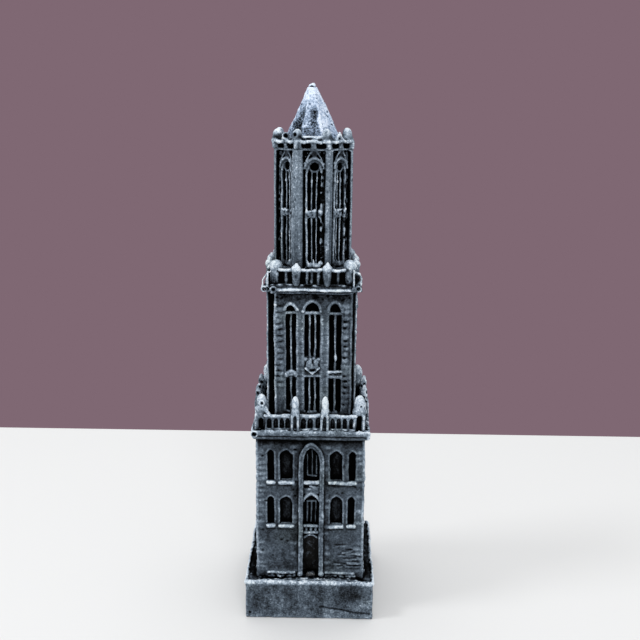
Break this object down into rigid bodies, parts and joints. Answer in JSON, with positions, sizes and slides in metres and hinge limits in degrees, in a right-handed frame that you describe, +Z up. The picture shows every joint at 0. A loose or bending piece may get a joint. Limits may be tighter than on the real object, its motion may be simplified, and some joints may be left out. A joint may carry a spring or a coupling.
{
  "type": "miniature gothic tower",
  "caption": "Small cast souvenir of a tall gothic tower: square base block, two square stages with galleries, an octagonal lantern and a pointed roof.",
  "frame": {"origin": "centre of the base block's underside, on the table", "axes": "+Z up along the tower, -Y towards the front with the door, +X to its right"},
  "size_m": [0.039, 0.039, 0.16],
  "materials": {
    "slate_cast": "satin, dark slate with black in the recesses",
    "pale_cast": "satin, slate dry-brushed with pale blue-grey",
    "roof_cast": "satin, pale blue-grey with dark patches",
    "black_cast": "satin black"
  },
  "bodies": {
    "root": {"balcony": "pale_cast", "corner_spout_1": "pale_cast", "corner_spout_2": "pale_cast", "corner_spout_3": "pale_cast", "corner_spout_4": "pale_cast", "crown": "pale_cast", "door_leaf": "black_cast", "door_step": "black_cast", "finial": "roof_cast", "lantern": "slate_cast", "lower_pinnacle_corner_1": "pale_cast", "lower_pinnacle_corner_2": "pale_cast", "lower_pinnacle_corner_3": "pale_cast", "lower_pinnacle_corner_4": "pale_cast", "lower_cornice": "pale_cast", "lower_parapet_back": "pale_cast", "lower_parapet_front": "pale_cast", "lower_parapet_left": "pale_cast", "lower_parapet_right": "pale_cast", "lower_pinnacle_back_1": "pale_cast", "lower_pinnacle_back_2": "pale_cast", "lower_pinnacle_front_1": "pale_cast", "lower_pinnacle_front_2": "pale_cast", "lower_pinnacle_left_1": "pale_cast", "lower_pinnacle_left_2": "pale_cast", "lower_pinnacle_right_1": "pale_cast", "lower_pinnacle_right_2": "pale_cast", "lower_tower": "slate_cast", "middle_tower": "slate_cast", "plinth": "slate_cast", "portal_frame_back": "pale_cast", "portal_frame_front": "pale_cast", "portal_frame_left": "pale_cast", "portal_frame_right": "pale_cast", "portal_tracery": "slate_cast", "shield_boss": "pale_cast", "spire": "roof_cast", "upper_post_corner_1": "pale_cast", "upper_post_corner_2": "pale_cast", "upper_post_corner_3": "pale_cast", "upper_post_corner_4": "pale_cast", "upper_cornice": "pale_cast", "upper_parapet_back": "pale_cast", "upper_parapet_front": "pale_cast", "upper_parapet_left": "pale_cast", "upper_parapet_right": "pale_cast", "upper_post_back_1": "pale_cast", "upper_post_back_2": "pale_cast", "upper_post_front_1": "pale_cast", "upper_post_front_2": "pale_cast", "upper_post_left_1": "pale_cast", "upper_post_left_2": "pale_cast", "upper_post_right_1": "pale_cast", "upper_post_right_2": "pale_cast"}
  },
  "joints": []
}
